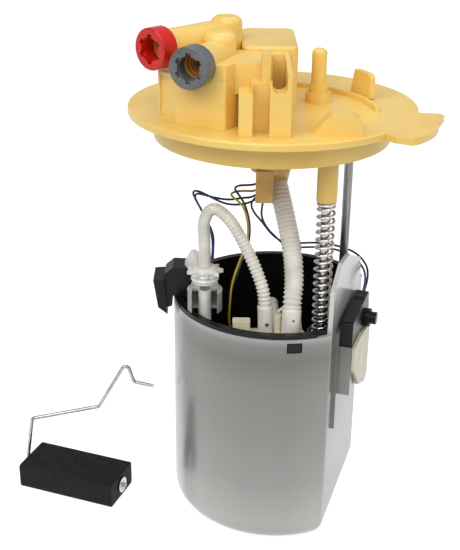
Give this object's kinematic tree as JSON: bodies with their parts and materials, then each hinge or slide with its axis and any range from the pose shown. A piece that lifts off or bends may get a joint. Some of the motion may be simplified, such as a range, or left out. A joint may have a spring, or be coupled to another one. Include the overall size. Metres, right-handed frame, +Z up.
{
  "type": "fuel pump module",
  "caption": "In-tank pump module: ported yellow flange on sprung guide rods over a silver swirl pot, with pump, hoses, level sender, float and wiring.",
  "frame": {"origin": "on the flange's axis, at the level of the pot's underside", "axes": "+Z up through the flange, +X towards the level sender's side, +Y towards the back, away from the ports"},
  "size_m": [0.2257, 0.146, 0.2748],
  "materials": {
    "flange_yellow": "semi-gloss moulded yellow plastic",
    "red_plastic": "gloss",
    "grey_plastic": "gloss",
    "pot_silver": "satin silver-white",
    "black_plastic": "satin",
    "float_foam": "matte closed-cell nitrile",
    "cream_plastic": "satin natural acetal",
    "hose": "translucent corrugated",
    "seal": "matte",
    "rubber_black": "matte",
    "steel": "drawn wire",
    "spring_steel": "bright spring wire",
    "pump_steel": "zinc plated",
    "copper_brass": "tinned contacts",
    "magnet": "sintered",
    "strainer": "woven mesh",
    "wire_blue": "insulation",
    "wire_yellow": "insulation",
    "wire_black": "insulation"
  },
  "bodies": {
    "reservoir": {"reservoir_shell": "pot_silver", "inner_cup": "black_plastic", "rod_guides": "black_plastic", "foot_valve": "rubber_black", "suction_strainer": "strainer", "pump_case": "pump_steel", "pump_inlet_cover": "black_plastic", "pump_pressure_plate": "cream_plastic", "pump_magnets": "magnet", "pump_cap": "black_plastic", "pump_brushes": "magnet", "pump_sleeve": "rubber_black", "pump_holder": "black_plastic", "outlet_manifold": "cream_plastic", "outlet_pipe": "hose", "return_hose": "hose", "supply_hose": "hose", "spring": "spring_steel", "return_elbow": "cream_plastic", "return_downpipe": "cream_plastic", "jet_nozzle": "black_plastic", "wiring_plug": "black_plastic", "sender_bracket": "pot_silver", "sender_body": "black_plastic", "sender_card": "cream_plastic", "sender_plate": "cream_plastic", "sender_connector": "black_plastic", "plug_wire_front": "wire_blue", "plug_wire_back": "wire_black", "pump_wire_front": "wire_yellow", "pump_wire_back": "wire_black", "sender_wire_front": "wire_blue", "sender_wire_back": "wire_black", "manifold_bridge": "cream_plastic"},
    "flange": {"flange_cover": "flange_yellow", "flange_skirt": "flange_yellow", "rod_sleeves": "flange_yellow", "port_block": "flange_yellow", "socket_housing": "flange_yellow", "port_tower": "flange_yellow", "red_port_pipe": "flange_yellow", "grey_port_pipe": "flange_yellow", "red_port_retainer": "red_plastic", "grey_port_retainer": "grey_plastic", "port_seals": "seal", "terminal_pins": "copper_brass", "outlet_nozzle": "cream_plastic", "guide_rod_front": "steel", "guide_rod_rear": "steel", "rod_clips": "spring_steel", "harness_plug": "black_plastic"},
    "pump_rotor": {"pump_armature": "magnet", "pump_commutator": "copper_brass", "pump_shaft": "steel", "pump_impeller": "cream_plastic"},
    "sender_hub": {"sender_hub": "black_plastic", "sender_wiper": "copper_brass"},
    "float": {"float_block": "float_foam"},
    "float_arm": {"float_wire": "steel", "float_push_nut": "spring_steel"}
  },
  "joints": [
    {"name": "flange_slide", "type": "slide", "parent": "reservoir", "child": "flange", "axis": [0, 0, 1], "range_m": [-0.035, 0], "stiffness_N_per_m": 300, "springref_m": 0.03, "deforming": ["spring", "supply_hose", "plug_wire_front", "plug_wire_back", "pump_wire_front", "pump_wire_back", "sender_wire_front", "sender_wire_back"]},
    {"name": "pump_spin", "type": "hinge", "parent": "reservoir", "child": "pump_rotor", "pos_m": [-0.006, 0.012, 0.05], "axis": [0, 0, 1], "continuous": true},
    {"name": "sender_turn", "type": "hinge", "parent": "reservoir", "child": "sender_hub", "pos_m": [0.05543, -0.00714, 0.1145], "axis": [0.9553, -0.2957, 0], "range_deg": [-30, 30]},
    {"name": "float_lift", "type": "slide", "parent": "reservoir", "child": "float", "axis": [0, 0, 1], "range_m": [0, 0.1]},
    {"name": "float_swing", "type": "hinge", "parent": "float", "child": "float_arm", "pos_m": [-0.11, -0.002, 0.0075], "axis": [0.9385, -0.3453, 0], "range_deg": [-30, 30]}
  ]
}
